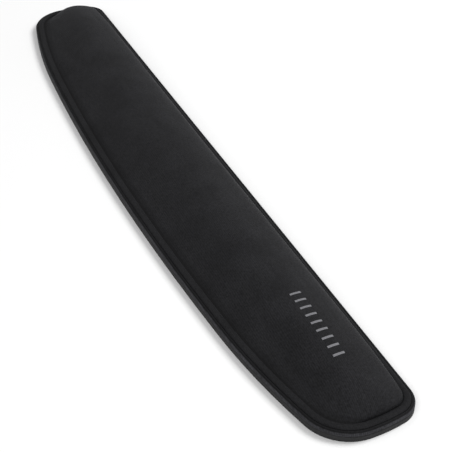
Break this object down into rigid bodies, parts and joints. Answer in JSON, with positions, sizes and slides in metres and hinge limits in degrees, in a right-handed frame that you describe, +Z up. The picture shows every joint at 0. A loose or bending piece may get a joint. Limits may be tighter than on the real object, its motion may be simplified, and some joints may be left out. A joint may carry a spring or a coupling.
{
  "type": "wrist rest",
  "caption": "Long keyboard wrist rest with a straight back edge and a bowed front: a soft fabric-covered gel and foam pad with a pressed rim on an anti-slip rubber sheet.",
  "frame": {"origin": "middle of the footprint, on the underside", "axes": "+X along the length, +Y from the user towards the keyboard (the straight edge), +Z up"},
  "size_m": [0.457, 0.0699, 0.0214],
  "materials": {
    "grip_rubber": "matt black anti-slip foam rubber with a fine embossed grid",
    "adhesive_film": "black double-sided adhesive film",
    "board": "grey-black stiff moulded board",
    "cover_fabric": "black stretch jersey with a fine knit grain and a soft sheen",
    "core_foam": "open-cell polyurethane foam",
    "pouch_film": "clear thermoplastic film",
    "gel": "soft translucent silicone gel",
    "print_ink": "flat grey heat-transfer print"
  },
  "bodies": {
    "root": {"grip_sheet": "grip_rubber", "base_adhesive": "adhesive_film", "base_board": "board", "fabric_cover": "cover_fabric", "core_adhesive": "adhesive_film", "foam_core": "core_foam", "gel_pouch": "pouch_film", "gel_filling": "gel", "transfer_print": "print_ink"}
  },
  "joints": []
}
